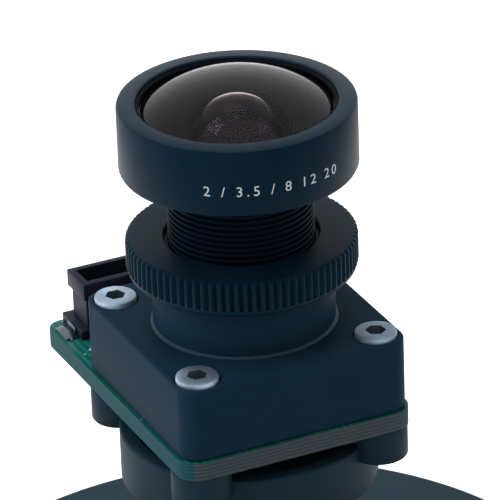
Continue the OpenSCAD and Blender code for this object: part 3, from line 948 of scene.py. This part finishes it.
@dataclass
class Connector:
    """Upright wire connector with its pins and solder tabs."""

    row: float = 15.6
    pin: float = 0.3
    pin_thickness: float = 0.2
    mouth_half: float = 7.8
    mouth_deep: float = 1.175
    mouth_floor: float = 1.3
    wall: float = 0.3
    base_height: float = 0.9
    collar_lip: float = 0.3
    collar_height: float = 1.5
    slack: float = 0.02
    foot_reach: float = 1.16
    strap: float = 0.18

    def build(self) -> None:
        """Builds the shell, the pins, the tabs and their solder."""
        self.build_shell()
        self.build_pins()
        self.build_tabs()

    def build_shell(self) -> None:
        """Builds the moulded shell."""
        a, b = box("connector_shell")
        row, lip = self.row, self.collar_lip
        deep, half = self.mouth_deep + self.wall, self.mouth_half + self.wall
        base = soften(block(a, (b.x, b.y, a.z + self.base_height)), 0.12)
        wall = soften(block((-half, row - deep, a.z), (half, row + deep, b.z - 0.5)), 0.06, 1)
        collar = soften(block((-half - lip, row - deep - lip, b.z - self.collar_height),
                              (half + lip, row + deep + lip, b.z)), 0.1)
        bm = combined(base, [wall, collar], Join.ADD)
        cuts = [block((-self.mouth_half, row - self.mouth_deep, a.z + self.mouth_floor),
                      (self.mouth_half, row + self.mouth_deep, b.z + 1))]
        gap = self.pin / 2 + self.slack
        for x in PIN_PLACES:
            slot_top = a.z + self.pin_thickness + self.slack
            cuts.append(block((x - gap, a.y - 1, a.z - 1), (x + gap, row, slot_top)))
            cuts.append(block((x - gap, row - gap, a.z - 1), (x + gap, row + gap, a.z + 2)))
        finish_piece(combined(bm, cuts, Join.CUT), "connector_housing", [Finish.CONNECTOR],
                     ["connector_shell"])

    def build_pins(self) -> None:
        """Builds the bent pins and the solder on their feet."""
        a, b = box("connector_pins")
        half = self.pin / 2
        bend = self.row - half
        pins, blobs = [], []
        for x in PIN_PLACES:
            bm = block((x - half, a.y, a.z),
                       (x + half, self.row + half, a.z + self.pin_thickness))
            bmesh.ops.bisect_plane(bm, geom=bm.verts[:] + bm.edges[:] + bm.faces[:],
                                   plane_co=(0, bend, 0), plane_no=(0, 1, 0))
            top = [f for f in bm.faces
                   if f.normal.z > 0.9 and f.calc_center_median().y > bend]
            risen = bmesh.ops.extrude_face_region(bm, geom=top)["geom"]
            bmesh.ops.translate(bm, vec=(0, 0, b.z - a.z - self.pin_thickness),
                                verts=[v for v in risen if isinstance(v, BMVert)])
            bmesh.ops.delete(bm, geom=top, context="FACES_ONLY")
            bmesh.ops.recalc_face_normals(bm, faces=bm.faces)
            pins.append(soften(bm, 0.04, 1, 60.0))
            middle = (x, a.y + 0.35, a.z + 0.03)
            blobs.append(drop((0.24, 0.42, 0.2), middle, a.z + 0.005, 14, 8))
        finish_piece(merged(pins), "connector_contacts", [Finish.GOLD],
                     ["connector_pins"])
        finish_piece(merged(blobs), "contact_solder", [Finish.SOLDER])

    def build_tabs(self) -> None:
        """Builds the two solder tabs at the connector's ends."""
        a, b = box("connector_tabs")
        inner = b.x - self.foot_reach
        parts = []
        for s in (-1, 1):
            x0, x1 = sorted((s * inner, s * b.x))
            foot = soften(block((x0, a.y, a.z), (x1, b.y, a.z + 0.2)), 0.05)
            x0, x1 = sorted((s * inner, s * (inner + self.strap)))
            strap = soften(block((x0, a.y + 0.4, a.z), (x1, b.y - 0.4, b.z)), 0.05)
            middle = (s * (inner + 0.58), (a.y + b.y) / 2, a.z + 0.05)
            parts += [foot, strap, drop((0.52, 1.35, 0.38), middle, a.z + 0.005, 24, 12)]
        finish_piece(merged(parts), "connector_end_tabs", [Finish.SOLDER],
                     ["connector_tabs"])


@dataclass
class LockRing:
    """Knurled ring on the lens thread."""

    grooves: int = 84
    faces_per_groove: int = 8
    depth: float = 0.30
    sharpness: float = 1.3
    band: float = 0.5
    inset: float = 0.14
    bore: float = 6.05
    counterbore: float = 6.35
    counterbore_depth: float = 0.5

    def build(self) -> None:
        """Builds the ring: a turned profile whose outside is then pressed in between ribs."""
        a, b = box("lock_ring")
        bottom, top, radius = a.z, b.z, b.x
        plain = radius - self.inset
        foot = bottom + self.band
        inside, shelf = self.counterbore, top - self.counterbore_depth
        side = [(radius, foot + (top - 0.3 - foot) * k / 4) for k in (1, 2, 3, 4)]
        bm = spun([(self.bore, bottom), (plain - 0.2, bottom), (plain, bottom + 0.2),
                   (plain, foot - 0.02), (radius - 0.05, foot), (radius, foot + 0.08), *side,
                   (radius - 0.10, top - 0.12), (radius - 0.16, top - 0.06),
                   (radius - 0.34, top - 0.01), (radius - 0.42, top), (inside + 0.1, top),
                   (inside, top - 0.1), (inside, shelf), (self.bore, shelf)],
                  self.grooves * self.faces_per_groove)
        for vert in bm.verts:
            r = vert.co.xy.length
            if r < radius - 0.2 or vert.co.z < foot - 0.01:
                continue
            turn = math.atan2(vert.co.y, vert.co.x) * self.grooves
            between = 0.5 + 0.5 * math.cos(turn)
            press = self.depth * between ** self.sharpness - (radius - r)
            if press > 0.0:
                vert.co.x *= (r - press) / r
                vert.co.y *= (r - press) / r
        finish_piece(bm, "knurled_lock_ring", [Finish.RING], ["lock_ring"],
                     Body.RING, 40.0)


@dataclass
class LensBarrel:
    """Lens head, neck and threaded barrel, with the marks on the head."""

    crest: float = 6.0
    thread_depth: float = 0.27
    pitch: float = 0.5
    bore: float = 5.2
    seat_lip: float = 0.3
    seat_height: float = 0.25
    neck: float = 0.96
    head_lift: float = 15.86
    rim_width: float = 1.55
    pocket_depth: float = 4.26
    mark_height: float = 0.86
    mark_drop: float = 1.08
    mark_start: float = -131.8
    marks: str = "2 / 3.5 / 8 12 20"

    def build(self) -> None:
        """Builds the barrel and its marks."""
        a, b = box("lens_barrel")
        bottom, top, radius = a.z, b.z, b.x
        head, floor = bottom + self.head_lift, top - self.pocket_depth
        pocket, root = radius - self.rim_width, self.crest - self.thread_depth
        seat, lip = floor - self.seat_height, self.bore - self.seat_lip
        ridges: list[Point] = []
        for k in range(int((self.head_lift - self.neck) / self.pitch)):
            z = bottom + k * self.pitch
            ridges += [(root, z + 0.08), (root + 0.2, z + 0.38), (self.crest, z + 0.45),
                       (self.crest, z + 0.52), (root + 0.2, z + 0.6)]
        bm = spun([(self.bore, bottom), (root, bottom), *ridges, (root, z + 0.88),
                   (root, head - 0.15), (root + 0.15, head), (radius - 0.35, head),
                   (radius - 0.12, head + 0.06), (radius, head + 0.3), (radius, top - 0.34),
                   (radius - 0.08, top - 0.12), (radius - 0.3, top), (pocket + 0.12, top),
                   (pocket, top - 0.12), (pocket, floor), (lip, floor), (lip, seat),
                   (self.bore, seat)], 160)
        paint_faces(bm, 1, lambda r, z, normal: r < self.bore + 0.01
                    or r < pocket - 0.01 and z > head + 0.1)
        # the thread and neck under the head get the darker anodising, a painted shade
        paint_faces(bm, 2, lambda r, z, normal: self.bore + 0.01 < r < self.crest + 0.3
                    and z < head)
        # the head's top rim gets the lighter anodising, a painted highlight
        paint_faces(bm, 3, lambda r, z, normal: r > pocket + 0.01 and z > top - 0.2)
        finish_piece(bm, "lens_head_and_barrel",
                     [Finish.BARREL, Finish.INNER_BLACK, Finish.THREAD_SHADE, Finish.RIM_HIGHLIGHT],
                     ["lens_barrel"], Body.BARREL, 40.0)
        self.build_marks(radius, (head + top) / 2 - self.mark_drop)

    def build_marks(self, radius: float, foot: float) -> None:
        """Builds the plain numbers, laid round the head.

        Args:
            radius: the head's radius.
            foot: the height of the numbers' foot.
        """
        curve = bpy.data.curves.new("plain_numbers", "FONT")
        curve.body = self.marks
        curve.size = self.mark_height / 0.7
        curve.space_character = 1.4
        curve.extrude = 0.006
        curve.resolution_u = 3
        words = linked("plain_numbers", curve)
        graph = bpy.context.evaluated_depsgraph_get()
        bm = bmesh.new()
        bm.from_mesh(words.evaluated_get(graph).to_mesh())
        bpy.data.objects.remove(words)
        bpy.data.curves.remove(curve)
        bmesh.ops.remove_doubles(bm, verts=bm.verts, dist=MERGE)
        for vert in bm.verts:
            angle = math.radians(self.mark_start) + vert.co.x / radius
            out = radius + 0.004 + vert.co.z
            vert.co = (out * math.cos(angle), out * math.sin(angle), foot + vert.co.y)
        finish_piece(bm, "head_numbers", [Finish.WHITE_PAINT], body=Body.BARREL)


@dataclass
class LensGlass:
    """Front glass, its ring, and the elements, spacers and stop inside the barrel."""

    ring_inner: float = 7.9
    dome_radius: float = 7.8
    flange_height: float = 3.62
    curve: float = 13.0
    hollow: float = 3.8
    hollow_depth: float = 3.4
    rings: int = 16

    def arc(self, radius: float, centre: float, reach: float) -> list[Point]:
        """A ball's outline from its top out to a reach, with its centre on the axis."""
        steps = (reach * k / self.rings for k in range(self.rings + 1))
        return [(r, centre + math.sqrt(radius ** 2 - r * r)) for r in steps]

    def build(self) -> None:
        """Builds the front glass and its ring, and dresses what is behind them."""
        a, b = box("front_lens")
        flange = a.z + self.flange_height
        under = a.z + self.hollow_depth - self.hollow
        reach = math.sqrt(self.hollow ** 2 - (a.z - under) ** 2)
        bm = spun([*self.arc(self.curve, b.z - self.curve, self.dome_radius), (b.x, flange),
                   (b.x, a.z), *reversed(self.arc(self.hollow, under, reach))], 128)
        paint_faces(bm, 1, lambda r, z, normal: r > reach and z < flange - 0.05)
        paint_faces(bm, 2, lambda r, z, normal: r < reach and normal.z < 0.0)
        finish_piece(bm, "domed_front_glass",
                     [Finish.FRONT_GLASS, Finish.INNER_BLACK, Finish.UNDER_GLASS],
                     ["front_lens"], Body.BARREL, 20.0)
        c, d = box("front_retaining_ring")
        ring = soften(spun([(self.ring_inner, c.z), (d.x, c.z), (d.x, d.z),
                            (self.ring_inner + 0.12, d.z), (self.ring_inner, d.z - 0.15)]),
                      0.03, 2, 50.0)
        finish_piece(ring, "thin_glass_ring", [Finish.INNER_BLACK],
                     ["front_retaining_ring"], Body.BARREL)
        dress_nodes(Finish.INNER_GLASS, "second_lens", "third_lens", "fourth_lens",
                    "fifth_lens", "rear_lens")
        dress_nodes(Finish.INNER_BLACK, "front_spacer", "aperture_stop", "rear_spacer",
                    "rear_retaining_ring")


# ---------------------------------------------------------------- studio


@dataclass
class Lamp:
    """One soft square lamp that is not mirrored in what is glossy."""

    name: str
    place: tuple[float, float, float]
    size: float
    watts: float

    def build(self, aim: Vector) -> None:
        """Makes the lamp and turns it to a point.

        Args:
            aim: the point.
        """
        light = bpy.data.lights.new(self.name, "AREA")
        light.size = self.size
        light.energy = self.watts
        lamp = linked(self.name, light)
        lamp.location = self.place
        lamp.rotation_euler = (aim - Vector(self.place)).to_track_quat("-Z", "Y").to_euler()
        lamp.visible_glossy = False


@dataclass
class Studio:
    """Pale floor, white surround, soft lamps and the camera."""

    azimuth: float = -24.491
    elevation: float = 26.727
    roll: float = -2.083
    distance: float = 0.42696
    focal: float = 375.4
    sensor: float = 36.0
    side_shift: float = 0.000447
    up_shift: float = 0.005428
    aim_height: float = 0.032
    floor_size: float = 3.0
    floor_sink: float = 0.00005
    floor_glow: float = 0.35
    surround_light: float = 0.55

    def build(self) -> None:
        """Builds the whole studio."""
        self.build_floor()
        self.build_world()
        aim = Vector((0.0, 0.0, self.aim_height))
        for lamp in (Lamp("key_left", (-0.55, 0.10, 0.42), 0.45, 5.0),
                     Lamp("top_soft", (0.0, 0.15, 0.75), 0.6, 4.0),
                     Lamp("fill_right", (0.5, -0.35, 0.30), 0.4, 1.2)):
            lamp.build(aim)
        self.build_camera(aim)
        bpy.context.scene.view_settings.view_transform = "Standard"

    def seen(self, wiring: Wiring) -> Socket:
        """1 for rays from the camera, mirrors and glass, and 0 for light that falls.

        Args:
            wiring: the tree that gets the nodes.

        Returns:
            The value's socket.
        """
        path = wiring.add("LightPath", {})
        direct = wiring.maths("ADD", path["Is Camera Ray"], path["Is Glossy Ray"])
        return wiring.maths("ADD", direct, path["Is Transmission Ray"], clamp=True)

    def build_floor(self) -> None:
        """Builds the floor, white to the camera and with the part's shadow."""
        bm = bmesh.new()
        bmesh.ops.create_grid(bm, x_segments=2, y_segments=2, size=self.floor_size / 2)
        floor = as_object(moved(bm, z=-self.floor_sink), "studio_floor")
        surface = Surface("pale_floor")
        cloud = surface.band(surface.noise(surface.where, 6.0, 2.0), 0.3, 0.7)
        glow = surface.maths("MULTIPLY", self.seen(surface), self.floor_glow)
        surface.dress(Base_Color=surface.mix(cloud, (0.80, 0.80, 0.80), (0.82, 0.82, 0.82)),
                      Roughness=0.8, Specular_IOR_Level=0.1, Emission_Color=WHITE,
                      Emission_Strength=glow)
        floor.data.materials.append(surface.material)

    def build_world(self) -> None:
        """Builds the surround: white where it is seen, softer as a light."""
        world = bpy.data.worlds.new("studio_surround")
        world.use_nodes = True
        bpy.context.scene.world = world
        wiring = Wiring(world.node_tree)
        background = world.node_tree.nodes["Background"].inputs
        more = wiring.maths("MULTIPLY", self.seen(wiring), 1.0 - self.surround_light)
        wiring.feed(background["Color"], WHITE)
        wiring.feed(background["Strength"], wiring.maths("ADD", more, self.surround_light))

    def build_camera(self, aim: Vector) -> None:
        """Places the camera.

        Args:
            aim: the point on the lens axis that the view is measured from.
        """
        a, e, r = (math.radians(v) for v in (self.azimuth, self.elevation, self.roll))
        back = Vector((math.sin(a) * math.cos(e), -math.cos(a) * math.cos(e), math.sin(e)))
        level = Vector((math.cos(a), math.sin(a), 0.0))
        rise = back.cross(level)
        right = math.cos(r) * level + math.sin(r) * rise
        up = math.cos(r) * rise - math.sin(r) * level
        place = aim + right * self.side_shift + up * self.up_shift + back * self.distance
        turn = Matrix((right, up, back)).transposed()
        camera = bpy.data.cameras.new("studio_camera")
        camera.lens = self.focal
        camera.sensor_width = self.sensor
        camera.clip_start = 0.01
        camera.clip_end = 20.0
        viewer = linked("studio_camera", camera)
        viewer.matrix_world = Matrix.Translation(place) @ turn.to_4x4()
        bpy.context.scene.camera = viewer


def main() -> None:
    """Builds every sub-assembly in order, then the studio."""
    logging.basicConfig(level=logging.INFO, format="%(name)s: %(message)s")
    for assembly in (Stand(), RearShell(), Board(), LensHolder(), CornerScrews(), Connector(),
                     LockRing(), LensBarrel(), LensGlass()):
        assembly.build()
    Studio().build()


if __name__ == "__main__":
    main()
